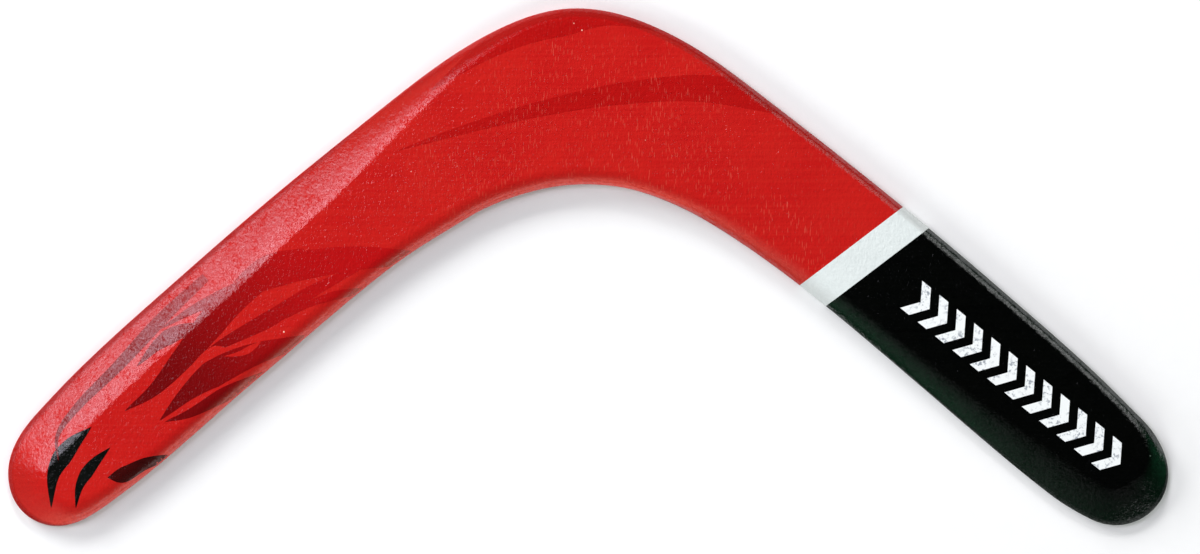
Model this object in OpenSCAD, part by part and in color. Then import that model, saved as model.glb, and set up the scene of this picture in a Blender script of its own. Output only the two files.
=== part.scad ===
// Wide-V returning boomerang carved from birch plywood, right-handed.
// X runs along the span, Y towards the elbow, Z up from the flat underside.
// The origin is the middle of the bounding box, at the level it lies on.

/* [Overall size] */
// Distance between the outer sides of the two arm tips
span = 400; // [380:5:480]

/* [Plywood] */
// Thickness of one birch veneer
veneer_t = 1.12; // [0.9:0.02:1.4]
// Thickness of one cured glue line between two veneers
glue_t = 0.1; // [0.06:0.01:0.16]

/* [Airfoil] */
// Width of the long bevel along the left arm's trailing edge, which is its outer edge
trail_w = 16.4; // [12:0.2:17]
// Width of the bevel round both tips
tip_w = 13; // [9:0.5:14]
// Width of the round-over along the inner edge, which is the left arm's leading edge
inner_lead_w = 6; // [4:0.5:8]
// Width of the round-over along the right arm's leading edge, which is its outer edge
outer_lead_w = 3.6; // [3:0.2:6]
// Height of the blunt face below the long bevel
trail_edge_t = 1.6; // [1:0.1:2.4]
// Height of the blunt face below the leading round-over
lead_edge_t = 2.2; // [1.4:0.1:3]
// Radius of the rounding along the lower edge
under_r = 0.7; // [0.3:0.05:0.8]

/* [Paint] */
// Thickness of the paint, all coats together
coat_t = 0.15; // [0.1:0.01:0.25]
// Where the white band starts, along the outer edge from the elbow end of the right arm
band_outer_start = 56.75; // [48:0.25:70]
// Where the white band starts, along the inner edge from the elbow end of the right arm
band_inner_start = 38.25; // [30:0.25:52]
// Width of the white band, measured along the edges
band_w = 11.5; // [6:0.5:16]

/* [Mesh] */
// Longest facet along an edge
facet_len = 11; // [9:1:20]
// Largest turn of an edge from one facet to the next, in degrees
facet_turn = 7.5; // [7:0.5:12]

/* [Hidden] */

VENEERS = 5;
wood_t = VENEERS * veneer_t + (VENEERS - 1) * glue_t;

// The ribs are cross-sections of the blade, from the left tip to the right tip, on a 400 mm span.
// Each holds a point of the outer edge and one of the inner edge: x, y, the heading of the edge
// there when it is walked from left to right, the shape of its side, from a round-over (0) to a
// long bevel (1), and the width of that.
LEFT_RIBS = [
    [[-195, -84.25, 135, 1, tip_w], [-195, -84.25, -45, 1, tip_w]],
    [[-200, -71, 90, 1, tip_w], [-183, -89.25, 0, 0.6, 0.8 * tip_w]],
    [[-196.5, -59, 61, 1, 0.93 * trail_w], [-173, -86.5, 28, 0.1, 1.2 * inner_lead_w]],
    [[-186, -46, 47.5, 1, trail_w], [-160.5, -78, 36.5, 0, inner_lead_w]],
    [[-143, -5.5, 41.5, 1, trail_w], [-114.5, -39, 40, 0, inner_lead_w]],
    [[-97.5, 33.5, 39, 1, 0.86 * trail_w], [-68.5, -0.5, 37.5, 0, inner_lead_w]],
    [[-67, 58, 38.5, 0.7, 0.62 * trail_w], [-41.5, 17, 31.5, 0, inner_lead_w]],
    [[-34, 80.5, 27.5, 0.3, 0.34 * trail_w], [-19.5, 26, 15, 0, inner_lead_w]],
    [[-4, 89.25, 0, 0, outer_lead_w], [-1, 28.5, 0, 0, inner_lead_w]],
    [[30, 79.5, -27.5, 0, outer_lead_w], [19.5, 25.5, -18, 0, inner_lead_w]]
];
RIGHT_ARM_START = [[64, 56, -37.5, 0, outer_lead_w], [41.5, 15.5, -31, 0.3, 1.2 * inner_lead_w]];
RIGHT_ARM_MIDDLE = [[141.5, -7, -41, 0, outer_lead_w], [113.5, -40, -40.5, 0.6, 0.75 * tip_w]];
RIGHT_RIBS = [
    [[186, -47.5, -46, 0, outer_lead_w], [159.5, -78.5, -37.5, 1, tip_w]],
    [[195.5, -58, -58, 0.3, 0.4 * tip_w], [172.5, -86.5, -27, 1, tip_w]],
    [[200, -71, -90, 0.8, 0.75 * tip_w], [182, -89, 0, 1, tip_w]],
    [[195, -83.5, -135, 1, tip_w], [195, -83.5, 45, 1, tip_w]]
];
SHAPE = 3;
WIDTH = 4;

function mix(a, b, t) = a + (b - a) * t;
function unit(v) = v / norm(v);
function along(h) = [cos(h), sin(h)];

// Edges between two rib points: a Bezier arc that leaves and arrives on their headings.
function turn(a, b) = abs(b[2] - a[2]);
function chord(a, b) = norm([b[0] - a[0], b[1] - a[1]]);
function handle(a, b) = chord(a, b)
    * (turn(a, b) < 0.5 ? 1 / 3 : 2 / 3 * tan(turn(a, b) / 4) / sin(turn(a, b) / 2));
function controls(a, b) = [
    [a[0], a[1]],
    [a[0], a[1]] + handle(a, b) * along(a[2]),
    [b[0], b[1]] - handle(a, b) * along(b[2]),
    [b[0], b[1]]
];
function bezier(c, t) = (1 - t) ^ 3 * c[0] + 3 * (1 - t) ^ 2 * t * c[1]
    + 3 * (1 - t) * t ^ 2 * c[2] + t ^ 3 * c[3];
function bezier_slope(c, t) = (1 - t) ^ 2 * (c[1] - c[0]) + 2 * (1 - t) * t * (c[2] - c[1])
    + t ^ 2 * (c[3] - c[2]);
function edge_at(a, b, t, shape, width) =
    let (c = controls(a, b), p = bezier(c, t), s = bezier_slope(c, t))
    [p[0], p[1], atan2(s[1], s[0]), shape, width];

// The two ribs that bound the white band, at their own distance along each edge.
function arm_point(edge, run) =
    let (a = RIGHT_ARM_START[edge], b = RIGHT_ARM_MIDDLE[edge], t = run / chord(a, b))
    edge_at(a, b, t, mix(a[SHAPE], b[SHAPE], t), mix(a[WIDTH], b[WIDTH], t));
function arm_rib(outer_run, inner_run) = [arm_point(0, outer_run), arm_point(1, inner_run)];
BAND_RIBS = [
    arm_rib(band_outer_start, band_inner_start),
    arm_rib(band_outer_start + band_w, band_inner_start + band_w)
];
RIBS = concat(LEFT_RIBS, [RIGHT_ARM_START], BAND_RIBS, [RIGHT_ARM_MIDDLE], RIGHT_RIBS);
BAND_FIRST_RIB = len(LEFT_RIBS) + 1;
BAND_LAST_RIB = BAND_FIRST_RIB + 1;

// Stations: the ribs, and enough sections between them to keep the facets short.
function edge_steps(a, b) = max(ceil(chord(a, b) / facet_len), ceil(turn(a, b) / facet_turn));
STEPS = [
    for (r = [0 : len(RIBS) - 2])
        max(edge_steps(RIBS[r][0], RIBS[r + 1][0]), edge_steps(RIBS[r][1], RIBS[r + 1][1]))
];
function station_of(rib) = rib == 0 ? 0 : station_of(rib - 1) + STEPS[rib - 1];
LAST = station_of(len(RIBS) - 1);

// The shape or the width of a side between two ribs: a curve that is smooth along the whole edge
// and never overshoots the values of its ribs.
function value_step(edge, kind, r) =
    r < 0 || r > len(RIBS) - 2 ? 0 : RIBS[r + 1][edge][kind] - RIBS[r][edge][kind];
function value_slope(edge, kind, r) =
    let (before = value_step(edge, kind, r - 1), after = value_step(edge, kind, r))
    before * after <= 0 ? 0 : 2 * before * after / (before + after);
function value_at(edge, kind, r, t) =
    RIBS[r][edge][kind] * (1 + 2 * t) * (1 - t) ^ 2 + RIBS[r + 1][edge][kind] * t ^ 2 * (3 - 2 * t)
    + value_slope(edge, kind, r) * t * (1 - t) ^ 2
    - value_slope(edge, kind, r + 1) * t ^ 2 * (1 - t);

// Ribs beside the band lie along its slanted sides, all others square to their edges.
function slant_of(rib) = rib == BAND_FIRST_RIB || rib == BAND_LAST_RIB ? 1 : 0;
function section_edge(edge, r, t) =
    edge_at(RIBS[r][edge], RIBS[r + 1][edge], t, value_at(edge, SHAPE, r, t), value_at(edge, WIDTH, r, t));
function section(r, t) = [
    section_edge(0, r, t),
    section_edge(1, r, t),
    mix(slant_of(r), slant_of(r + 1), t)
];
SECTIONS = concat(
    [for (r = [0 : len(RIBS) - 2], step = [0 : STEPS[r] - 1]) section(r, step / STEPS[r])],
    [section(len(RIBS) - 2, 1)]
);

// Heights of the contours in the wood. Each veneer has its own list, from its lower face to its
// upper face, so that the glue lines fill the gaps between two lists.
VENEER_LEVELS = [
    [0, 0.3 * under_r / veneer_t, under_r / veneer_t, 1],
    [0, 0.5, 1],
    [0, 0.5, 1],
    [0, 0.5, 1],
    [0, 0.4, 0.7, 0.9, 1]
];
LEVELS = [
    for (v = [0 : VENEERS - 1], share = VENEER_LEVELS[v])
        v * (veneer_t + glue_t) + share * veneer_t
];
function lowest_level(v) = v == 0 ? 0 : lowest_level(v - 1) + len(VENEER_LEVELS[v - 1]);
function highest_level(v) = lowest_level(v) + len(VENEER_LEVELS[v]) - 1;

// How far the side of the wood stands in from the painted outline at height z.
function lower_rounding(z) = z < under_r ? under_r - sqrt(under_r ^ 2 - (under_r - z) ^ 2) : 0;
function long_bevel(rise) = 1 - (1 - rise) ^ 0.8;
function round_over(rise) = 1 - sqrt(1 - rise ^ 2);
function wood_inset(z, shape, width) =
    let (edge_t = mix(lead_edge_t, trail_edge_t, shape))
    let (rise = max(0, (z - edge_t) / (wood_t - edge_t)))
    coat_t + lower_rounding(z) + width * mix(round_over(rise), long_bevel(rise), shape);

// Profiles run up the side, as pairs of inset and height. The paint's outer face is the wood's
// profile moved out by the thickness of the paint.
function wood_profile(edge) =
    [for (z = LEVELS) [wood_inset(z, edge[SHAPE], edge[WIDTH]), z + coat_t]];
function outward(p, q) = let (d = unit(q - p)) [-d[1], d[0]];
function moved_out(p, before, after) =
    let (n1 = outward(before, p), n2 = outward(p, after)) p + coat_t * (n1 + n2) / (1 + n1 * n2);
function paint_profile(profile) =
    let (n = len(profile) - 1)
    [
        for (j = [0 : n])
            moved_out(
                profile[j],
                j == 0 ? profile[0] + [1, 0] : profile[j - 1],
                j == n ? profile[n] + [1, 0] : profile[j + 1]
            )
    ];

// Into the blade from an edge: square to it, or along the section where the band is slanted.
function inward(edge, side) = side * [sin(edge[2]), -cos(edge[2])];
function inset_dir(edge, other, side, slant) =
    let (n = inward(edge, side), e = unit([other[0] - edge[0], other[1] - edge[1]]))
    slant == 0 ? n : mix(n, e / (e * n), slant);
function side_points(edge, dir, profile) = [
    for (p = profile)
        [
            edge[0] * span / 400 + dir[0] * p[0],
            edge[1] * span / 400 + dir[1] * p[0],
            p[1]
        ]
];

// One closed loop per section: up the outer edge, across, and down the inner edge.
function side_profile(edge, painted) = painted ? paint_profile(wood_profile(edge)) : wood_profile(edge);
function outer_side(s, painted) = let (edge = SECTIONS[s][0])
    side_points(edge, inset_dir(edge, SECTIONS[s][1], 1, SECTIONS[s][2]), side_profile(edge, painted));
function inner_side(s, painted) = let (edge = SECTIONS[s][1])
    side_points(edge, inset_dir(edge, SECTIONS[s][0], -1, SECTIONS[s][2]), side_profile(edge, painted));
function is_tip(s) = s == 0 || s == LAST;
WOOD_OUTER = [for (s = [0 : LAST]) outer_side(s, false)];
WOOD_INNER = [for (s = [0 : LAST]) inner_side(s, false)];
PAINT_OUTER = [for (s = [0 : LAST]) outer_side(s, true)];
PAINT_INNER = [for (s = [0 : LAST]) inner_side(s, true)];
function loop_points(outer, inner, s, low, high) = concat(
    [for (j = [low : high]) outer[s][j]],
    is_tip(s) ? [] : [for (j = [high : -1 : low]) inner[s][j]]
);
function loft_points(outer, inner, first, last, low, high) = [
    for (s = [first : last])
        each loop_points(outer, inner, s, low, high)
];

// Faces of a loft between sections. At a tip both sides share one column of points.
function loop_index(s, j, first, rows) =
    let (whole = s - first - (first == 0 && s > 0 ? 1 : 0))
    let (start = whole * 2 * rows + (first == 0 && s > 0 ? rows : 0))
    start + (is_tip(s) && j >= rows ? 2 * rows - 1 - j : j);
function has_area(f) = f[0] != f[1] && f[1] != f[2] && f[2] != f[0];
function quad(a, b, c, d) = [for (f = [[a, b, c], [a, c, d]]) if (has_area(f)) f];
function loft_faces(first, last, rows, offset, flip) = [
    for (s = [first : last - 1], j = [0 : 2 * rows - 1])
        let (k = (j + 1) % (2 * rows))
        let (a = offset + loop_index(s, j, first, rows), b = offset + loop_index(s + 1, j, first, rows))
        let (c = offset + loop_index(s + 1, k, first, rows), d = offset + loop_index(s, k, first, rows))
        each flip ? quad(a, d, c, b) : quad(a, b, c, d)
];
function ring_faces(s, first, rows, offset, flip) = [
    for (j = [0 : 2 * rows - 1])
        let (k = (j + 1) % (2 * rows))
        let (a = loop_index(s, j, first, rows), b = loop_index(s, k, first, rows))
        each flip ? quad(a, a + offset, b + offset, b) : quad(a, b, b + offset, a + offset)
];

// A layer of the plywood between two of the contour heights, from tip to tip.
module layer(low, high) {
    polyhedron(
        points = loft_points(WOOD_OUTER, WOOD_INNER, 0, LAST, low, high),
        faces = loft_faces(0, LAST, high - low + 1, 0, false)
    );
}

module veneer(v) {
    layer(lowest_level(v), highest_level(v));
}

module glue_line(v) {
    layer(highest_level(v), lowest_level(v + 1));
}

// A sleeve of paint around the blade between two stations, closed where it meets a tip.
module paint(first, last) {
    rows = len(LEVELS);
    skin = loft_points(PAINT_OUTER, PAINT_INNER, first, last, 0, rows - 1);
    bed = loft_points(WOOD_OUTER, WOOD_INNER, first, last, 0, rows - 1);
    polyhedron(
        points = concat(skin, bed),
        faces = concat(
            loft_faces(first, last, rows, 0, false),
            loft_faces(first, last, rows, len(skin), true),
            is_tip(first) ? [] : ring_faces(first, first, rows, len(skin), false),
            is_tip(last) ? [] : ring_faces(last, first, rows, len(skin), true)
        )
    );
}

module bottom_face_veneer() {
    color("burlywood") veneer(0);
}

module glue_line_1() {
    color("saddlebrown") glue_line(0);
}

module lower_cross_veneer() {
    color("tan") veneer(1);
}

module glue_line_2() {
    color("saddlebrown") glue_line(1);
}

module core_veneer() {
    color("burlywood") veneer(2);
}

module glue_line_3() {
    color("saddlebrown") glue_line(2);
}

module upper_cross_veneer() {
    color("tan") veneer(3);
}

module glue_line_4() {
    color("saddlebrown") glue_line(3);
}

module top_face_veneer() {
    color("burlywood") veneer(4);
}

module red_coat() {
    color("firebrick") paint(0, station_of(BAND_FIRST_RIB));
}

module white_band() {
    color("whitesmoke") paint(station_of(BAND_FIRST_RIB), station_of(BAND_LAST_RIB));
}

module black_tip_coat() {
    color("#1c211e") paint(station_of(BAND_LAST_RIB), LAST);
}

bottom_face_veneer();
glue_line_1();
lower_cross_veneer();
glue_line_2();
core_veneer();
glue_line_3();
upper_cross_veneer();
glue_line_4();
top_face_veneer();
red_coat();
white_band();
black_tip_coat();
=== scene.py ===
"""Looks of the boomerang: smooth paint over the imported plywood, printed decoration, studio light."""
import math

import bmesh
import bpy
import numpy as np
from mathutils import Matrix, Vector
from mathutils.bvhtree import BVHTree
from mathutils.geometry import delaunay_2d_cdt
from mathutils.interpolate import poly_3d_calc


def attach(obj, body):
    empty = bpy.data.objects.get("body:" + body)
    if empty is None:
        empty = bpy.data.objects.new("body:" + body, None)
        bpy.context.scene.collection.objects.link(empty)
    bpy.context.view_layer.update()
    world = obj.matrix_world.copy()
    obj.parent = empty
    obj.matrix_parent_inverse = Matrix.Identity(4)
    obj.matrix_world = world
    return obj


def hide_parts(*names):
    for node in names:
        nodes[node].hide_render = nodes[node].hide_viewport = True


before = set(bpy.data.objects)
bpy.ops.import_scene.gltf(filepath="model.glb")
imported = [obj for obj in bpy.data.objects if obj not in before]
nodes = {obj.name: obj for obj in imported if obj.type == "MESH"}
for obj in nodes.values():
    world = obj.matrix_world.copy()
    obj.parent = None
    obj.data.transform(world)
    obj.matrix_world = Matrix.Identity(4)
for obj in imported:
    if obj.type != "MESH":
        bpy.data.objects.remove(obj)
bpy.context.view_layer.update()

MM = 0.001

# ---------------------------------------------------------------- blade, as in the CAD design (mm)

TRAIL_W = 16.4
TIP_W = 13.0
INNER_LEAD_W = 6.0
OUTER_LEAD_W = 3.6
TRAIL_EDGE_T = 1.6
LEAD_EDGE_T = 2.2
UNDER_R = 0.7
COAT_T = 0.15
WOOD_T = 6.0
BAND_OUTER_START = 56.75
BAND_INNER_START = 38.25
BAND_W = 11.5

# Each rib: a point of the outer edge and one of the inner edge, as x, y, heading in degrees, shape
# of the side from round-over (0) to long bevel (1), and width of that.
LEFT_RIBS = [
    ((-195, -84.25, 135, 1, TIP_W), (-195, -84.25, -45, 1, TIP_W)),
    ((-200, -71, 90, 1, TIP_W), (-183, -89.25, 0, 0.6, 0.8 * TIP_W)),
    ((-196.5, -59, 61, 1, 0.93 * TRAIL_W), (-173, -86.5, 28, 0.1, 1.2 * INNER_LEAD_W)),
    ((-186, -46, 47.5, 1, TRAIL_W), (-160.5, -78, 36.5, 0, INNER_LEAD_W)),
    ((-143, -5.5, 41.5, 1, TRAIL_W), (-114.5, -39, 40, 0, INNER_LEAD_W)),
    ((-97.5, 33.5, 39, 1, 0.86 * TRAIL_W), (-68.5, -0.5, 37.5, 0, INNER_LEAD_W)),
    ((-67, 58, 38.5, 0.7, 0.62 * TRAIL_W), (-41.5, 17, 31.5, 0, INNER_LEAD_W)),
    ((-34, 80.5, 27.5, 0.3, 0.34 * TRAIL_W), (-19.5, 26, 15, 0, INNER_LEAD_W)),
    ((-4, 89.25, 0, 0, OUTER_LEAD_W), (-1, 28.5, 0, 0, INNER_LEAD_W)),
    ((30, 79.5, -27.5, 0, OUTER_LEAD_W), (19.5, 25.5, -18, 0, INNER_LEAD_W)),
]
RIGHT_ARM_START = ((64, 56, -37.5, 0, OUTER_LEAD_W), (41.5, 15.5, -31, 0.3, 1.2 * INNER_LEAD_W))
RIGHT_ARM_MIDDLE = ((141.5, -7, -41, 0, OUTER_LEAD_W), (113.5, -40, -40.5, 0.6, 0.75 * TIP_W))
RIGHT_RIBS = [
    ((186, -47.5, -46, 0, OUTER_LEAD_W), (159.5, -78.5, -37.5, 1, TIP_W)),
    ((195.5, -58, -58, 0.3, 0.4 * TIP_W), (172.5, -86.5, -27, 1, TIP_W)),
    ((200, -71, -90, 0.8, 0.75 * TIP_W), (182, -89, 0, 1, TIP_W)),
    ((195, -83.5, -135, 1, TIP_W), (195, -83.5, 45, 1, TIP_W)),
]
SHAPE, WIDTH = 3, 4
OUTER, INNER = 0, 1

# Mesh: the longest facet (mm) and largest turn (degrees) along an edge, the rows up a side and how
# many of them round the lower edge, and how far in from its ends a flat face has extra points, in
# mm and at most as a share of its width.
FACET_LEN = 2.5
FACET_TURN = 2.5
SIDE_ROWS = 34
LOWER_ROWS = 7
CAP_STEPS = (0.35, 1.0, 2.0)
CAP_SHARES = (0.08, 0.20, 0.32)
CREASE = math.radians(60)
WELD = 1e-7


def along(heading):
    return np.array([math.cos(math.radians(heading)), math.sin(math.radians(heading))])


def chord(a, b):
    return math.hypot(b[0] - a[0], b[1] - a[1])


def turn(a, b):
    return abs(b[2] - a[2])


def bezier_arc(a, b, t):
    """Point and heading at t on the arc that leaves a and reaches b on their headings."""
    angle = math.radians(turn(a, b))
    share = 1 / 3 if angle < 0.01 else 2 / 3 * math.tan(angle / 4) / math.sin(angle / 2)
    reach = chord(a, b) * share
    start, end = np.array(a[:2], float), np.array(b[:2], float)
    c1, c2 = start + reach * along(a[2]), end - reach * along(b[2])
    u = 1 - t
    point = u ** 3 * start + 3 * u * u * t * c1 + 3 * u * t * t * c2 + t ** 3 * end
    slope = u * u * (c1 - start) + 2 * u * t * (c2 - c1) + t * t * (end - c2)
    return point, math.degrees(math.atan2(slope[1], slope[0]))


def arm_point(edge, run):
    a, b = RIGHT_ARM_START[edge], RIGHT_ARM_MIDDLE[edge]
    t = run / chord(a, b)
    point, heading = bezier_arc(a, b, t)
    shape, width = (a[kind] + (b[kind] - a[kind]) * t for kind in (SHAPE, WIDTH))
    return (point[0], point[1], heading, shape, width)


BAND_RIBS = [
    (arm_point(OUTER, BAND_OUTER_START), arm_point(INNER, BAND_INNER_START)),
    (arm_point(OUTER, BAND_OUTER_START + BAND_W), arm_point(INNER, BAND_INNER_START + BAND_W)),
]
RIBS = LEFT_RIBS + [RIGHT_ARM_START] + BAND_RIBS + [RIGHT_ARM_MIDDLE] + RIGHT_RIBS
BAND_FIRST = len(LEFT_RIBS) + 1
BAND_LAST = BAND_FIRST + 1


def value_step(edge, kind, r):
    return 0 if r < 0 or r > len(RIBS) - 2 else RIBS[r + 1][edge][kind] - RIBS[r][edge][kind]


def value_slope(edge, kind, r):
    before, after = value_step(edge, kind, r - 1), value_step(edge, kind, r)
    return 0 if before * after <= 0 else 2 * before * after / (before + after)


def value_at(edge, kind, r, t):
    """Shape or width between ribs r and r + 1, smooth along the whole edge."""
    return (
        RIBS[r][edge][kind] * (1 + 2 * t) * (1 - t) ** 2
        + RIBS[r + 1][edge][kind] * t * t * (3 - 2 * t)
        + value_slope(edge, kind, r) * t * (1 - t) ** 2
        - value_slope(edge, kind, r + 1) * t * t * (1 - t)
    )


def wood_inset(z, shape, width):
    edge_t = LEAD_EDGE_T + (TRAIL_EDGE_T - LEAD_EDGE_T) * shape
    rise = max(0.0, (z - edge_t) / (WOOD_T - edge_t))
    lower = UNDER_R - math.sqrt(UNDER_R ** 2 - (UNDER_R - z) ** 2) if z < UNDER_R else 0.0
    long_bevel = 1 - (1 - rise) ** 0.8
    round_over = 1 - math.sqrt(1 - rise ** 2)
    return COAT_T + lower + width * (round_over + (long_bevel - round_over) * shape)


def wood_levels():
    """Heights up the side: close together round the lower edge, the nose and the ridge."""
    quarter = math.pi / 2
    last = LOWER_ROWS - 1
    lower = [UNDER_R * (1 - math.cos(quarter * k / last)) for k in range(LOWER_ROWS)]
    rows = SIDE_ROWS - LOWER_ROWS
    above = WOOD_T - UNDER_R
    upper = [UNDER_R + above * math.sin(quarter * k / rows) for k in range(1, rows + 1)]
    return lower + upper


LEVELS = wood_levels()


def wood_profile(shape, width):
    return np.array([(wood_inset(z, shape, width), z + COAT_T) for z in LEVELS])


def moved_out(profile, distance):
    """The profile moved out square to itself, as paint of that thickness moves the surface."""
    closed = np.vstack([profile[0] + (1, 0), profile, profile[-1] + (1, 0)])
    step = np.diff(closed, axis=0)
    step /= np.linalg.norm(step, axis=1)[:, None]
    normal = np.stack([-step[:, 1], step[:, 0]], axis=1)
    before, after = normal[:-1], normal[1:]
    dot = (before * after).sum(axis=1)[:, None]
    return profile + distance * (before + after) / (1 + dot)


def sections():
    """Every section: its two edge points with heading, shape and width, its slant and its place."""
    found = []
    for r in range(len(RIBS) - 1):
        steps = max(
            max(math.ceil(chord(a, b) / FACET_LEN), math.ceil(turn(a, b) / FACET_TURN))
            for a, b in zip(RIBS[r], RIBS[r + 1])
        )
        last = 1 if r == len(RIBS) - 2 else 0
        for k in range(steps + last):
            t = k / steps
            edges = []
            for edge in (OUTER, INNER):
                point, heading = bezier_arc(RIBS[r][edge], RIBS[r + 1][edge], t)
                shape, width = value_at(edge, SHAPE, r, t), value_at(edge, WIDTH, r, t)
                edges.append((point, heading, shape, width))
            slants = [1.0 if rib in (BAND_FIRST, BAND_LAST) else 0.0 for rib in (r, r + 1)]
            found.append((edges, slants[0] + (slants[1] - slants[0]) * t, r + t))
    return found


SECTIONS = sections()


def side_points(section, edge, painted):
    edges, slant, _ = section
    point, heading, shape, width = edges[edge]
    side = 1 if edge == OUTER else -1
    normal = side * np.array([math.sin(math.radians(heading)), -math.cos(math.radians(heading))])
    direction = normal
    if slant:
        across = edges[1 - edge][0] - point
        across = across / np.linalg.norm(across)
        direction = normal + slant * (across / (across @ normal) - normal)
    profile = wood_profile(shape, width)
    if painted:
        profile = moved_out(profile, COAT_T)
    plan = point + direction * profile[:, :1]
    return np.column_stack([plan, profile[:, 1]])


def cap_points(start, end):
    """Points across a flat face, close to its two ends so that the shading stays flat between."""
    length = np.linalg.norm(end - start)
    steps = [min(step, length * share) for step, share in zip(CAP_STEPS, CAP_SHARES)]
    shares = [s / max(length, 1e-9) for s in steps]
    return [start + (end - start) * f for f in shares + [0.5] + [1 - f for f in reversed(shares)]]


def section_loop(section, painted):
    """One closed loop: up the outer side, across the top, down the inner side, back underneath."""
    outer, inner = side_points(section, OUTER, painted), side_points(section, INNER, painted)
    return np.vstack([
        outer,
        cap_points(outer[-1], inner[-1]),
        inner[::-1],
        cap_points(inner[0], outer[0]),
    ])


def new_object(name, verts, faces, material):
    mesh = bpy.data.meshes.new(name)
    mesh.from_pydata([tuple(v) for v in np.asarray(verts) * MM], [], faces)
    mesh.validate()
    mesh.update()
    mesh.materials.append(material)
    piece = bpy.data.objects.new(name, mesh)
    bpy.context.scene.collection.objects.link(piece)
    return piece


def weld(piece, distance):
    grid = bmesh.new()
    grid.from_mesh(piece.data)
    bmesh.ops.remove_doubles(grid, verts=grid.verts, dist=distance)
    bmesh.ops.dissolve_degenerate(grid, edges=grid.edges, dist=distance)
    bmesh.ops.recalc_face_normals(grid, faces=grid.faces)
    grid.to_mesh(piece.data)
    grid.free()


def sleeve(name, first_rib, last_rib, material):
    """Paint around the blade between two ribs: outer skin, inner skin on the wood, cut rings."""
    chosen = [s for s in SECTIONS if first_rib - 1e-6 <= s[2] <= last_rib + 1e-6]
    skin = [section_loop(s, True) for s in chosen]
    bed = [section_loop(s, False) for s in chosen]
    rows = len(skin[0])
    verts = np.vstack(skin + bed)
    inside = len(skin) * rows
    faces = []
    for s in range(len(skin) - 1):
        for j in range(rows):
            k = (j + 1) % rows
            a, b, c, d = s * rows + j, (s + 1) * rows + j, (s + 1) * rows + k, s * rows + k
            faces.append((a, d, c, b))
            faces.append((inside + a, inside + b, inside + c, inside + d))
    ends = ([] if first_rib == 0 else [0]) + ([] if last_rib == len(RIBS) - 1 else [len(skin) - 1])
    for s in ends:
        for j in range(rows):
            a, b = s * rows + j, s * rows + (j + 1) % rows
            faces.append((a, b, inside + b, inside + a))
    piece = new_object(name, verts, faces, material)
    weld(piece, WELD)
    piece.data.shade_smooth()
    piece.data.set_sharp_from_angle(angle=CREASE)
    return piece


# ---------------------------------------------------------------- materials

class Nodes:
    """Short calls for building one node material. Scales of noise and cells are per metre."""

    def __init__(self, name):
        self.material = bpy.data.materials.new(name)
        self.material.use_nodes = True
        self.tree = self.material.node_tree
        self.tree.nodes.clear()
        self.out = self.add("ShaderNodeOutputMaterial")
        self.shader = self.add("ShaderNodeBsdfPrincipled")
        self.link(self.shader.outputs[0], self.out.inputs["Surface"])
        self.place = self.add("ShaderNodeTexCoord").outputs["Object"]

    def add(self, kind, **settings):
        node = self.tree.nodes.new(kind)
        for key, value in settings.items():
            setattr(node, key, value)
        return node

    def link(self, out, into):
        self.tree.links.new(out, into)

    def set(self, **values):
        for key, value in values.items():
            self.shader.inputs[key.replace("_", " ")].default_value = value

    def stretched(self, scale):
        node = self.add("ShaderNodeMapping")
        self.link(self.place, node.inputs["Vector"])
        node.inputs["Scale"].default_value = scale
        return node.outputs["Vector"]

    def noise(self, scale, detail=2.0, rough=0.5, vector=None, distortion=0.0):
        node = self.add("ShaderNodeTexNoise")
        self.link(vector or self.place, node.inputs["Vector"])
        node.inputs["Scale"].default_value = scale
        node.inputs["Detail"].default_value = detail
        node.inputs["Roughness"].default_value = rough
        node.inputs["Distortion"].default_value = distortion
        return node.outputs["Fac"]

    def cells(self, scale, vector=None):
        node = self.add("ShaderNodeTexVoronoi")
        self.link(vector or self.place, node.inputs["Vector"])
        node.inputs["Scale"].default_value = scale
        return node.outputs["Distance"]

    def split(self, vector):
        node = self.add("ShaderNodeSeparateXYZ")
        self.link(vector, node.inputs["Vector"])
        return node.outputs["X"], node.outputs["Y"], node.outputs["Z"]

    def distance(self, point):
        node = self.add("ShaderNodeVectorMath", operation="DISTANCE")
        self.link(self.place, node.inputs[0])
        node.inputs[1].default_value = point
        return node.outputs["Value"]

    def ramp(self, fac, low, high, bottom=0.0, top=1.0):
        node = self.add("ShaderNodeMapRange")
        node.interpolation_type = "SMOOTHSTEP"
        self.link(fac, node.inputs["Value"])
        node.inputs["From Min"].default_value = low
        node.inputs["From Max"].default_value = high
        node.inputs["To Min"].default_value = bottom
        node.inputs["To Max"].default_value = top
        return node.outputs["Result"]

    def math(self, operation, a, b):
        node = self.add("ShaderNodeMath", operation=operation)
        for socket, value in zip(node.inputs, (a, b)):
            if isinstance(value, (int, float)):
                socket.default_value = value
            else:
                self.link(value, socket)
        return node.outputs[0]

    def mix(self, fac, a, b):
        node = self.add("ShaderNodeMix", data_type="RGBA")
        for key, value in (("Factor", fac), ("A", a), ("B", b)):
            socket = [s for s in node.inputs if s.name == key and s.enabled][0]
            if isinstance(value, (int, float)):
                socket.default_value = value
            elif isinstance(value, tuple):
                socket.default_value = (*value, 1.0)
            else:
                self.link(value, socket)
        return [s for s in node.outputs if s.enabled][0]

    def bump(self, *layers):
        """Layers are (height, strength, depth in metres), each on top of the last."""
        normal = None
        for height, strength, depth in layers:
            node = self.add("ShaderNodeBump")
            node.inputs["Strength"].default_value = strength
            node.inputs["Distance"].default_value = depth
            self.link(height, node.inputs["Height"])
            if normal:
                self.link(normal, node.inputs["Normal"])
            normal = node.outputs["Normal"]
        self.link(normal, self.shader.inputs["Normal"])


# Roughness of the polished paint and of its steep edges.
GLOSS = 0.12
DULL = 0.5

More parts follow.
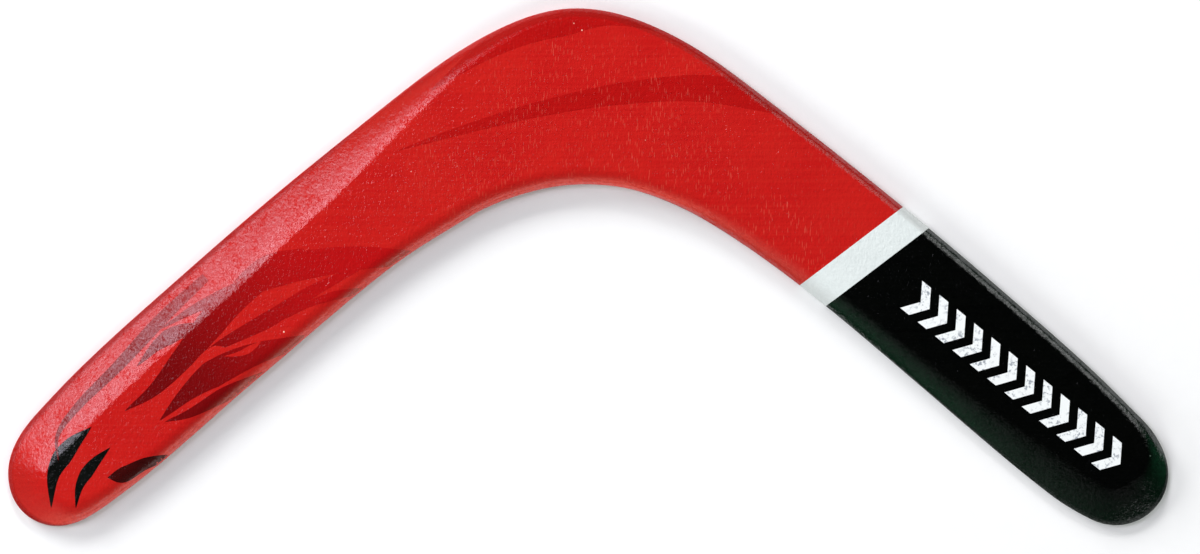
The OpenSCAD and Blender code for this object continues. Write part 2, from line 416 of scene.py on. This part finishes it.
# How much pores change the colour, how much painted shade darkens slopes facing the elbow's side or
# the left tip, and how much flecks take off the shine.
PORE_TINT = 0.34
PAINTED_SLOPE_SHADE_SHARE = 0.75
FLECK_LOSS = 0.38

# Places on the blade from which something fades, and the distances over which it does (m).
LEFT_TIP = (-0.189, -0.075, 0.006)
DEEP_FADE = (0.050, 0.130)
ELBOW = (0.030, 0.045, 0.006)
PORES_FADE = (0.045, 0.120)
ELBOW_TOP = (-0.002, 0.089, 0.004)
POLISH_FADE = (0.030, 0.070)

# Width, length and depth of one pore's cell (m).
COARSE_PORE = (0.0010, 0.0095, 0.025)
FINE_PORE = (0.00062, 0.0045, 0.025)

# A slope is told by its normal: how steep it is by Z, how far it faces the elbow's side by Y and
# the left tip by X. The blunt edge below the bevels is told by its height (m).
# The sloping rim takes a painted sheen. Steep outer edges, the blunt edge and slopes facing the
# elbow's side or the left tip take painted shade; the steep and blunt edges are also dull.
PAINTED_SHEEN_Z = (0.80, 0.985)
STEEP_Z = (0.45, 0.74)
PAINTED_EDGE_SHADE_Z = (0.78, 0.92)
OUTWARD_Y = (0.20, 0.40)
PAINTED_SLOPE_SHADE_Y = (0.08, 0.34)
PAINTED_SLOPE_SHADE_X = (-0.45, -0.15)
EDGE_HEIGHT = (0.0021, 0.0028)


def pores(n):
    """Vessels of the birch under the paint: short dashes along Y, thickest near the elbow."""
    coarse = n.cells(1.0, n.stretched([1 / size for size in COARSE_PORE]))
    fine = n.cells(1.0, n.stretched([1 / size for size in FINE_PORE]))
    strong = n.math("MULTIPLY", n.ramp(coarse, 0.10, 0.18, 0.8, 0.0),
                    n.ramp(n.noise(48, 3, 0.6), 0.48, 0.60))
    faint = n.math("MULTIPLY", n.ramp(fine, 0.14, 0.30, 0.6, 0.0),
                   n.ramp(n.noise(24, 3, 0.6), 0.38, 0.58))
    near = n.ramp(n.distance(ELBOW), *PORES_FADE, 1.0, 0.10)
    return n.math("MULTIPLY", n.math("MAXIMUM", strong, faint), near)


def specks(n, spacing, size):
    """Tiny round nibs of dust in the lacquer. The spacing is in metres, the size a share of it."""
    return n.ramp(n.cells(1 / spacing), size * 0.6, size, 1.0, 0.0)


def sides(n):
    """Masks for the painted sheen on the sloping rim, for the steep or low edge that is dull, for the
    painted shade on its outer part or low edge, and for the painted shade on slopes that face the
    elbow's side or the left tip.
    """
    x, y, z = n.split(n.add("ShaderNodeNewGeometry").outputs["Normal"])
    # Painted sheen: the sloping rim, in patches, turns to the lighter rim colour.
    rim = n.math("MULTIPLY", n.ramp(z, *PAINTED_SHEEN_Z, 1.0, 0.0),
                 n.ramp(n.noise(900, 3, 0.7), 0.30, 0.62, 0.45, 1.0))
    outward = n.ramp(y, *OUTWARD_Y)
    steep = n.math("MULTIPLY", n.ramp(z, *STEEP_Z, 1.0, 0.0), outward)
    # Painted shade: the outer edges and the blunt edge below the bevels turn to the dark edge colour.
    outer = n.math("MULTIPLY", n.ramp(z, *PAINTED_EDGE_SHADE_Z, 1.0, 0.0), outward)
    low = n.ramp(n.split(n.place)[2], *EDGE_HEIGHT, 1.0, 0.0)
    # Painted shade: slopes facing the elbow's side or the left tip darken towards the edge colour.
    painted_slope_shade = n.math("MAXIMUM", n.ramp(y, *PAINTED_SLOPE_SHADE_Y), n.ramp(x, *PAINTED_SLOPE_SHADE_X, 1.0, 0.0))
    return rim, n.math("MAXIMUM", steep, low), n.math("MAXIMUM", outer, low), painted_slope_shade


def lacquer(name, base, dark, light, speck, pore, rim, edge, deep=None, shine=1.0):
    """Satin-gloss paint with print banding, pores, dust nibs, flecks and orange peel, a dull steep
    edge, a painted sheen on the sloping rim and painted shade on the outer edges and on slopes facing
    the elbow's side or the left tip.
    """
    n = Nodes(name)
    mottled = n.mix(n.ramp(n.noise(35, 4, 0.6), 0.35, 0.65), dark, base)
    lines = n.noise(1.0, 2, 0.5, n.stretched((6, 1150, 6)))
    colour = n.mix(n.ramp(lines, 0.42, 0.62, 0.0, 0.35), mottled, light)
    if deep:
        colour = n.mix(n.ramp(n.distance(LEFT_TIP), *DEEP_FADE, 1.0, 0.0), colour, deep)
    pored = pores(n)
    colour = n.mix(n.math("MULTIPLY", pored, PORE_TINT), colour, pore)
    slope, steep, outer, painted_slope_shade = sides(n)
    # Painted sheen on the sloping rim, then painted shade on slopes facing the elbow's side or the
    # left tip.
    colour = n.mix(n.math("MULTIPLY", painted_slope_shade, PAINTED_SLOPE_SHADE_SHARE), n.mix(slope, colour, rim), edge)
    # Painted shade on the outer edges and the blunt edge.
    colour = n.mix(outer, colour, edge)
    nib = n.math("MULTIPLY", specks(n, spacing=0.0075, size=0.045),
                 n.ramp(n.noise(60, 1), 0.5, 0.56))
    n.link(n.mix(nib, colour, speck), n.shader.inputs["Base Color"])

    wear = n.ramp(n.noise(420, 3, 0.6), 0.3, 0.7, GLOSS * 0.85, GLOSS * 1.2)
    roughness = n.math("MAXIMUM", wear, n.math("MULTIPLY", steep, DULL))
    n.link(roughness, n.shader.inputs["Roughness"])

    flecks = n.math("MULTIPLY", n.ramp(n.noise(1050, 3, 0.7), 0.47, 0.56),
                    n.ramp(n.noise(150, 3, 0.6), 0.46, 0.58))
    grainy = n.ramp(n.noise(2000, 2, 0.7), 0.38, 0.62, 0.32 * shine, 0.72 * shine)
    polish = n.math("SUBTRACT", grainy, n.math("MULTIPLY", flecks, FLECK_LOSS))
    kept = n.ramp(n.distance(ELBOW_TOP), *POLISH_FADE, 0.3, 1.0)
    n.link(n.math("MULTIPLY", polish, kept), n.shader.inputs["Specular IOR Level"])

    peel = n.noise(620, 3, 0.65)
    grain = n.noise(1.0, 3, 0.6, n.stretched((1500, 420, 900)))
    n.bump((peel, 1.0, 0.00018), (grain, 0.8, 0.00010), (pored, 0.5, -0.00003),
           (nib, 0.6, 0.00004))
    return n.material


def wood(name, light, dark, grain_along_x):
    """Rotary-cut birch with fine vessels and a slow change of tone."""
    n = Nodes(name)
    scale = (9, 260, 200) if grain_along_x else (260, 9, 200)
    fibres = n.noise(1.0, 5, 0.65, n.stretched(scale), 0.4)
    tone = n.noise(14, 2, 0.5)
    streaked = n.mix(n.ramp(fibres, 0.35, 0.68), light, dark)
    n.link(n.mix(n.ramp(tone, 0.3, 0.75, 0.0, 0.4), streaked, dark), n.shader.inputs["Base Color"])
    n.link(n.ramp(fibres, 0.3, 0.7, 0.55, 0.7), n.shader.inputs["Roughness"])
    n.bump((fibres, 0.4, 0.0001))
    return n.material


def resin(name):
    """Cured brown glue, slightly uneven."""
    n = Nodes(name)
    flow = n.noise(90, 3, 0.6)
    n.link(n.mix(flow, (0.20, 0.085, 0.035), (0.30, 0.14, 0.06)), n.shader.inputs["Base Color"])
    n.link(n.ramp(flow, 0.3, 0.7, 0.3, 0.45), n.shader.inputs["Roughness"])
    n.bump((flow, 0.3, 0.00005))
    return n.material


# In each paint, rim is the colour of the painted sheen on sloping rims and edge that of the painted
# shade on outer edges, the blunt edge and slopes facing the elbow's side or the left tip.
RED = lacquer(
    "red_lacquer",
    base=(0.495, 0.0118, 0.0095), dark=(0.465, 0.0085, 0.0080), light=(0.525, 0.017, 0.012),
    speck=(0.95, 0.62, 0.50), pore=(0.80, 0.19, 0.12),
    rim=(0.69, 0.070, 0.050), edge=(0.28, 0.0080, 0.0065),
)
DARK_RED = lacquer(
    "dark_red_ink",
    base=(0.415, 0.0050, 0.0060), dark=(0.390, 0.0045, 0.0055), light=(0.44, 0.006, 0.006),
    speck=(0.70, 0.30, 0.25), pore=(0.60, 0.10, 0.08),
    rim=(0.400, 0.065, 0.042), edge=(0.22, 0.006, 0.0055),
    deep=(0.145, 0.0022, 0.0030),
)
SWOOSH_RED = lacquer(
    "deep_red_ink",
    base=(0.405, 0.0055, 0.0055), dark=(0.380, 0.0050, 0.005), light=(0.435, 0.008, 0.006),
    speck=(0.85, 0.40, 0.32), pore=(0.78, 0.17, 0.12),
    rim=(0.385, 0.017, 0.012), edge=(0.25, 0.007, 0.006),
)
BLACK_INK = lacquer(
    "black_ink",
    base=(0.0030, 0.0036, 0.0030), dark=(0.0022, 0.0028, 0.0022), light=(0.005, 0.006, 0.005),
    speck=(0.10, 0.12, 0.06), pore=(0.03, 0.035, 0.02),
    rim=(0.010, 0.014, 0.009), edge=(0.004, 0.005, 0.004),
)
BROWN_INK = lacquer(
    "brown_ink",
    base=(0.040, 0.0025, 0.0025), dark=(0.030, 0.0020, 0.0020), light=(0.052, 0.0035, 0.003),
    speck=(0.35, 0.12, 0.10), pore=(0.2, 0.04, 0.03),
    rim=(0.075, 0.012, 0.008), edge=(0.03, 0.003, 0.003),
)
WHITE = lacquer(
    "white_lacquer",
    base=(0.70, 0.75, 0.74), dark=(0.67, 0.72, 0.71), light=(0.73, 0.78, 0.77),
    speck=(0.90, 0.92, 0.91), pore=(0.66, 0.71, 0.70),
    rim=(0.70, 0.73, 0.72), edge=(0.50, 0.53, 0.52),
)
BLACK = lacquer(
    "black_lacquer",
    base=(0.0005, 0.0008, 0.0006), dark=(0.0003, 0.0005, 0.0004), light=(0.0010, 0.0015, 0.0011),
    speck=(0.09, 0.13, 0.10), pore=(0.003, 0.005, 0.004),
    rim=(0.0042, 0.0290, 0.0125), edge=(0.0015, 0.0060, 0.0030),
    shine=1.7,
)


def worn_print(name):
    """White ink with rubbed spots where the black shows through grey."""
    n = Nodes(name)
    worn = n.ramp(n.noise(620, 4, 0.7), 0.50, 0.62)
    scuffs = n.math("MULTIPLY", worn, n.ramp(n.noise(130, 2), 0.36, 0.58))
    n.link(n.mix(scuffs, (0.84, 0.87, 0.87), (0.30, 0.33, 0.37)), n.shader.inputs["Base Color"])
    n.link(n.ramp(scuffs, 0.0, 1.0, 0.36, 0.5), n.shader.inputs["Roughness"])
    n.bump((n.noise(1150, 2, 0.55), 0.35, 0.00006), (scuffs, 0.3, -0.00002))
    return n.material


WHITE_INK = worn_print("worn_white_ink")
FACE_WOOD = wood("birch_along_y", (0.74, 0.56, 0.36), (0.60, 0.42, 0.25), grain_along_x=False)
CROSS_WOOD = wood("birch_along_x", (0.68, 0.51, 0.33), (0.54, 0.38, 0.23), grain_along_x=True)
GLUE = resin("brown_resin")
NODE_MATERIALS = {
    "bottom_face_veneer": FACE_WOOD, "core_veneer": FACE_WOOD, "top_face_veneer": FACE_WOOD,
    "lower_cross_veneer": CROSS_WOOD, "upper_cross_veneer": CROSS_WOOD,
    "glue_line_1": GLUE, "glue_line_2": GLUE, "glue_line_3": GLUE, "glue_line_4": GLUE,
}
for node, material in NODE_MATERIALS.items():
    nodes[node].data.materials.clear()
    nodes[node].data.materials.append(material)


# ---------------------------------------------------------------- paint

# Each coat: its name, the ribs where it starts and ends, its material, the CAD node that it
# replaces and its slot.
COATS = [
    ("red_lacquer_coat", 0, BAND_FIRST, RED, "red_coat", "red_paint"),
    ("white_lacquer_band", BAND_FIRST, BAND_LAST, WHITE, "white_band", "white_paint"),
    ("black_lacquer_tip", BAND_LAST, len(RIBS) - 1, BLACK, "black_tip_coat", "black_paint"),
]
coats = []
for name, first, last, material, node, slot in COATS:
    coat = sleeve(name, first, last, material)
    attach(coat, "root")
    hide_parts(node)
    coats.append(coat)


# ---------------------------------------------------------------- printed decoration

# How far a film stands above the paint and reaches into it, and the size of its triangles (mm).
FILM_PROUD = 0.035
FILM_ROOTED = 0.03
FILM_GRID = 0.7
# The pitch of its rows of points and their least distance from its edge, as shares of that size.
ROW_PITCH = 0.87
CLEAR_OF_EDGE = 0.45
# The height from which a ray looks down for the paint (m).
RAY_START = 0.05


class Surface:
    """The upper face of the paint, for laying a film on it: height and normal at a place in plan."""

    def __init__(self, pieces):
        verts, faces, self.normals = [], [], []
        for piece in pieces:
            start = len(verts)
            verts += [v.co.copy() for v in piece.data.vertices]
            self.normals += [v.normal.copy() for v in piece.data.vertices]
            faces += [tuple(start + i for i in p.vertices) for p in piece.data.polygons]
        self.verts, self.faces = verts, faces
        self.tree = BVHTree.FromPolygons(verts, faces)

    def at(self, x, y):
        hit, _, face, _ = self.tree.ray_cast(Vector((x * MM, y * MM, RAY_START)), Vector((0, 0, -1)))
        if hit is None:
            return None
        corners = self.faces[face]
        weights = poly_3d_calc([self.verts[i] for i in corners], hit)
        normal = sum((self.normals[i] * w for i, w in zip(corners, weights)), Vector())
        return hit / MM, normal.normalized()


def inside(points, polygon):
    """Which of the points lie in the polygon."""
    x, y = points[:, 0], points[:, 1]
    result = np.zeros(len(points), bool)
    for (ax, ay), (bx, by) in zip(polygon, np.roll(polygon, -1, axis=0)):
        crosses = (ay > y) != (by > y)
        with np.errstate(divide="ignore", invalid="ignore"):
            result ^= crosses & (x < (bx - ax) * (y - ay) / (by - ay) + ax)
    return result


def resampled(polygon, spacing):
    """The polygon with extra points, so that no two are further apart than the spacing."""
    polygon = np.array(polygon, float)
    points = []
    for a, b in zip(polygon, np.roll(polygon, -1, axis=0)):
        count = max(1, math.ceil(np.linalg.norm(b - a) / spacing))
        points += [a + (b - a) * k / count for k in range(count)]
    return np.array(points)


def plan_outline(inset):
    """The outline of the blade in plan, moved in by inset."""
    outer, inner = [], []
    for edges, _, _ in SECTIONS:
        for edge, chain in ((OUTER, outer), (INNER, inner)):
            point, heading = edges[edge][:2]
            side = 1 if edge == OUTER else -1
            chain.append(point + inset * side * np.array(
                [math.sin(math.radians(heading)), -math.cos(math.radians(heading))]))
    return np.array(outer + inner[-2:0:-1])


def film_plan(shapes, holes, clips):
    """Points and triangles in plan that fill the shapes, less the holes, within the clip outlines."""
    shapes, holes, clips = (
        [resampled(ring, FILM_GRID) for ring in group] for group in (shapes, holes, clips))

    def wanted(places):
        keep = np.any([inside(places, ring) for ring in shapes], axis=0)
        for ring in holes:
            keep &= ~inside(places, ring)
        for ring in clips:
            keep &= inside(places, ring)
        return keep

    points, edges = [], []
    for ring in shapes + holes + clips:
        start = len(points)
        points += [tuple(p) for p in ring]
        edges += [(start + k, start + (k + 1) % len(ring)) for k in range(len(ring))]
    every = np.vstack(shapes)
    low, high = every.min(axis=0), every.max(axis=0)
    columns = np.arange(low[0], high[0], FILM_GRID)
    lines = np.arange(low[1], high[1], FILM_GRID * ROW_PITCH)
    grid = np.array([(x + (k % 2) * FILM_GRID / 2, y) for k, y in enumerate(lines) for x in columns])
    grid = grid[wanted(grid)]
    ring_points = np.array(points)
    gap = np.array([np.min(((ring_points - p) ** 2).sum(axis=1)) for p in grid])
    grid = grid[gap > (CLEAR_OF_EDGE * FILM_GRID) ** 2]
    everything = [Vector(p) for p in points] + [Vector(p) for p in grid]
    flat, _, triangles, *_ = delaunay_2d_cdt(everything, edges, [], 0, 1e-5)
    flat = np.array([(p.x, p.y) for p in flat])
    triangles = np.array(triangles)
    return flat, triangles[wanted(flat[triangles].mean(axis=1))]


def film(name, shapes, material, surface, holes=(), clips=()):
    """A thin printed film over all the shapes, laid on the paint."""
    flat, triangles = film_plan(shapes, holes, clips)
    used = sorted(set(triangles.ravel().tolist()))
    found = {i: surface.at(*flat[i]) for i in used}
    used = [i for i in used if found[i]]
    triangles = [t for t in triangles.tolist() if all(found[i] for i in t)]
    index = {i: k for k, i in enumerate(used)}
    top = [found[i][0] + found[i][1] * FILM_PROUD for i in used]
    bottom = [found[i][0] - found[i][1] * FILM_ROOTED for i in used]
    count = len(used)
    faces = [tuple(index[i] for i in t) for t in triangles]
    rim = {}
    for a, b, c in faces:
        for edge in ((a, b), (b, c), (c, a)):
            rim[edge] = True
    rim = [(a, b) for a, b in rim if (b, a) not in rim]
    under = [(c + count, b + count, a + count) for a, b, c in faces]
    walls = [(b, a, a + count, b + count) for a, b in rim]
    piece = new_object(name, np.array(top + bottom), faces + under + walls, material)
    piece.data.shade_smooth()
    piece.data.set_sharp_from_angle(angle=CREASE)
    wall_start = len(faces) + len(under)
    normals = [found[i][1] for i in used]
    loops = []
    for number, polygon in enumerate(piece.data.polygons):
        for v in polygon.vertices:
            if number < len(faces):
                loops.append(normals[v])
            elif number < wall_start:
                loops.append(-normals[v - count])
            else:
                loops.append(polygon.normal)
    piece.data.normals_split_custom_set(loops)
    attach(piece, "root")
    return piece


CURVE_STEPS = 28
LICK_TAPER = 0.85


def curve_points(controls):
    """Points along a cubic curve through the controls, whose slopes come from their neighbours."""
    controls = np.array(controls, float)
    slopes = np.gradient(controls, axis=0)
    points = []
    for k in range(len(controls) - 1):
        a, b, ma, mb = controls[k], controls[k + 1], slopes[k], slopes[k + 1]
        for t in np.linspace(0, 1, CURVE_STEPS, endpoint=k == len(controls) - 2):
            points.append(a * (1 + 2 * t) * (1 - t) ** 2 + b * t * t * (3 - 2 * t)
                          + ma * t * (1 - t) ** 2 - mb * t * t * (1 - t))
    return np.array(points)


def lick(spine, width, fullest=0.35, root=0.0):
    """A curved leaf that swells from its root to its fullest point and ends sharp.

    Fullest is a share of its length. Root is the width at the root, as a share of the full width.
    """
    line = curve_points(spine)
    step = np.gradient(line, axis=0)
    step /= np.linalg.norm(step, axis=1)[:, None]
    normal = np.stack([-step[:, 1], step[:, 0]], axis=1)
    t = np.linspace(0, 1, len(line))
    rise = np.clip(t / fullest, 0, 1)
    fall = np.clip((1 - t) / (1 - fullest), 0, 1)
    half = width / 2 * (root + (1 - root) * np.sin(rise * math.pi / 2)) * fall ** LICK_TAPER
    half[-1] = 0
    left, right = line + normal * half[:, None], line - normal * half[:, None]
    return np.vstack([left, right[-2::-1]] if root else [left, right[-2:0:-1]])


# The middle line of the left arm: where it leaves the elbow, its direction towards the tip and the
# direction square to it, towards the outer edge.
LEFT_ARM_START = np.array((-82.9, 16.2))
LEFT_ARM_DOWN = -along(40.5)
LEFT_ARM_OUT = np.array((LEFT_ARM_DOWN[1], -LEFT_ARM_DOWN[0]))


def on_left_arm(*places):
    """Places on the left arm, given as distances towards the tip and towards the outer edge (mm)."""
    return [LEFT_ARM_START + s * LEFT_ARM_DOWN + v * LEFT_ARM_OUT for s, v in places]


# Each lick: the line it follows, its full width, where it is fullest, and its width at the root.
FLAMES = [
    lick(on_left_arm((-8, -24), (3, -14.5), (15, -6), (30, 2), (46, 5.5), (64, 4.5)), 10, 0.6, 0.5),
    lick(on_left_arm((28, 2), (50, 4.5), (72, 1), (88, -1.2), (101, -0.2)), 10, 0.35, 0.3),
    lick(on_left_arm((8, -15), (24, -11), (42, -8.5), (60, -4.5), (76, -2)), 5.5, 0.55, 0.3),
    lick(on_left_arm((38, -22), (54, -14.5), (68, -10.5), (80, -9.5), (94, -10.5)), 9.5, 0.55, 0.4),
    lick(on_left_arm((54, -23), (70, -18.5), (84, -15.5), (93, -12)), 5, 0.4, 0.5),
    lick(on_left_arm((10, -23), (20, -17), (29, -13.5), (38, -12)), 3, 0.4, 0.6),
]
FLAME_GAPS = [
    lick(on_left_arm((60, -7.2), (66, -3.8), (76, -3.6)), 3.4, 0.4, 0.2),
    lick(on_left_arm((50, -12.5), (57, -11.3), (63, -8)), 2.4, 0.4, 0.2),
]
SWOOSHES = [
    lick([(74, 55), (42, 61.4), (12, 59.8), (-17, 54.4), (-44, 47), (-66, 40)], 9.6, 0.18, 0.8),
    lick([(28, 81), (6, 88.5), (-14, 85), (-34, 75.5), (-54, 61)], 14, 0.45),
]
STROKES = [
    lick(on_left_arm((50, 16.8), (70, 15.8), (92, 13.2), (112, 11.6), (124, 8.5), (130, 1)),
         4.4, 0.3, 0.7),
    lick(on_left_arm((34, 5), (48, 7.5), (60, 11), (74, 13.5)), 5, 0.4, 0.3),
    lick(on_left_arm((60, 4), (68, 8), (77, 9.8), (88, 8.8)), 5.4, 0.55, 0.2),
    lick(on_left_arm((18, 2), (27, 6.2), (35, 8.6), (44, 9.2)), 4, 0.5, 0.2),
]
DROPS = [
    lick([(-171, -55), (-178.5, -62), (-184, -71), (-185, -83)], 6.5, 0.5),
    lick([(-164.5, -62), (-170.5, -68), (-175, -75), (-176.5, -83)], 4.2, 0.5),
]
LEAF = [
    lick([(-165.5, -72.5), (-160, -71.5), (-152, -67.5), (-143, -65.8), (-134, -67)], 5.4, 0.28),
]

# The row of arrowheads on the black tip (mm).
MARK_START = np.array((107.5, -14.0))
MARK_ALONG = along(-39.1)
MARK_UP = np.array((-MARK_ALONG[1], MARK_ALONG[0]))
MARK_PITCH = 7.7
MARKS = 12
MARK_HEIGHT = 12.0
MARK_DEPTH = 4.2
MARK_BAR = 3.9

# How far short of the outline of the blade a clipped print stops (mm).
PRINT_MARGIN = 0.5


def chevron(number):
    """A plain arrowhead of the row on the black tip."""
    base = MARK_START + number * MARK_PITCH * MARK_ALONG
    middle = MARK_HEIGHT / 2
    corners = [
        (0, 0), (MARK_BAR, 0), (MARK_BAR + MARK_DEPTH, middle),
        (MARK_BAR, MARK_HEIGHT), (0, MARK_HEIGHT), (MARK_DEPTH, middle),
    ]
    return np.array([base + a * MARK_ALONG + u * MARK_UP for a, u in corners])


surface = Surface(coats)
print_area = [plan_outline(PRINT_MARGIN)]
film("flame_print", FLAMES + STROKES, DARK_RED, surface, FLAME_GAPS, print_area)
film("swoosh_print", SWOOSHES, SWOOSH_RED, surface, clips=print_area)
film("drop_print", DROPS, BLACK_INK, surface, clips=print_area)
film("leaf_print", LEAF, BROWN_INK, surface, clips=print_area)
film("chevron_print", [chevron(k) for k in range(MARKS)], WHITE_INK, surface)


# ---------------------------------------------------------------- studio

KEY_TINT = (1.0, 0.96, 1.1)
WHITE_LIGHT = (1.0, 1.0, 1.0)
FRONT_TINT = (0.97, 1.03, 1.0)


def aimed(name, azimuth, tilt, distance, size, watts, colour=WHITE_LIGHT, glints=True):
    """A softbox at an azimuth from +X and a tilt from straight up, in degrees."""
    data = bpy.data.lights.new(name, "AREA")
    data.shape = "RECTANGLE"
    data.size, data.size_y = size
    data.energy = watts
    data.color = colour
    lamp = bpy.data.objects.new(name, data)
    a, t = math.radians(azimuth), math.radians(tilt)
    towards = Vector((math.sin(t) * math.cos(a), math.sin(t) * math.sin(a), math.cos(t)))
    lamp.location = towards * distance
    lamp.rotation_euler = (-lamp.location).to_track_quat("-Z", "Y").to_euler()
    lamp.visible_glossy = glints
    bpy.context.scene.collection.objects.link(lamp)


# Each lamp: its name, azimuth, tilt, distance (m), size (m) and power (W), then its tint and whether
# it glints. The key boxes give the long highlight on the left bevel, the strip the one on the right
# rim and the fills those on the inner rims. The shade lamps make the soft shadows, without glints.
LAMPS = [
    ("key_upper_softbox", 147, 25.5, 1.5, (0.30, 0.25), 2.05, KEY_TINT),
    ("key_middle_softbox", 147, 35.0, 1.5, (0.40, 0.157), 1.0, KEY_TINT),
    ("key_lower_softbox", 147, 43.5, 1.5, (0.48, 0.30), 1.05, KEY_TINT),
    ("key_side_softbox", 128.5, 33, 1.5, (0.135, 0.50), 0.7, KEY_TINT),
    ("key_fade_softbox", 168, 33, 1.5, (0.20, 0.50), 0.9, KEY_TINT),
    ("right_strip", 40, 52, 2.0, (0.55, 1.5), 5.2),
    ("front_upper_fill", -65, 37, 2.0, (1.2, 0.5), 0.15),
    ("front_lower_fill", -65, 68, 2.0, (1.9, 0.8), 5.5),
    ("front_left_fill", -130, 50, 2.0, (1.2, 1.4), 0.6),
    ("shade_main", 138, 72, 3.0, (1.2, 0.8), 76, WHITE_LIGHT, False),
    ("shade_left", 183, 75, 3.0, (1.0, 0.8), 37, WHITE_LIGHT, False),
    ("shade_back", 95, 69, 3.0, (1.0, 0.8), 66, WHITE_LIGHT, False),
    ("shade_front", -45, 60, 3.0, (1.4, 1.0), 23, FRONT_TINT, False),
    ("shade_front_left", -115, 62, 3.0, (1.4, 1.0), 28, FRONT_TINT, False),
]
for lamp in LAMPS:
    aimed(*lamp)

AMBIENT = 0.01
world = bpy.data.worlds.new("studio")
world.use_nodes = True
background = world.node_tree.nodes["Background"]
background.inputs["Color"].default_value = (1.0, 1.0, 1.0, 1.0)
background.inputs["Strength"].default_value = AMBIENT
bpy.context.scene.world = world

# Half the width of the floor, and how far it lies below the blade so that they share no plane (m).
FLOOR_HALF = 2.5
FLOOR_DROP = 0.00003
floor_mesh = bpy.data.meshes.new("floor")
corners = ((-1, -1), (1, -1), (1, 1), (-1, 1))
floor_mesh.from_pydata(
    [(x * FLOOR_HALF, y * FLOOR_HALF, -FLOOR_DROP) for x, y in corners], [], [(0, 1, 2, 3)])
floor = bpy.data.objects.new("floor", floor_mesh)
bpy.context.scene.collection.objects.link(floor)
paper = Nodes("white_paper")
fibre = paper.noise(160, 3, 0.6)
paper.link(paper.mix(fibre, (0.86, 0.86, 0.86), (0.89, 0.89, 0.89)), paper.shader.inputs["Base Color"])
paper.set(Roughness=0.9, Specular_IOR_Level=0.1)
floor_mesh.materials.append(paper.material)

# What the picture spans at the top of the blade, and where the camera stands (m).
FRAME_WIDTH = 0.4134
BLADE_TOP = 0.005
CAMERA_HEIGHT = 4.0
CAMERA_PLACE = (0.0041, -0.0034, CAMERA_HEIGHT)
SENSOR_MM = 36
camera_data = bpy.data.cameras.new("camera")
camera_data.sensor_fit = "HORIZONTAL"
camera_data.sensor_width = SENSOR_MM
camera_data.lens = SENSOR_MM * (CAMERA_HEIGHT - BLADE_TOP) / FRAME_WIDTH
camera_data.clip_end = 20
camera = bpy.data.objects.new("camera", camera_data)
camera.location = CAMERA_PLACE
bpy.context.scene.collection.objects.link(camera)
bpy.context.scene.camera = camera
bpy.context.scene.view_settings.view_transform = "Standard"
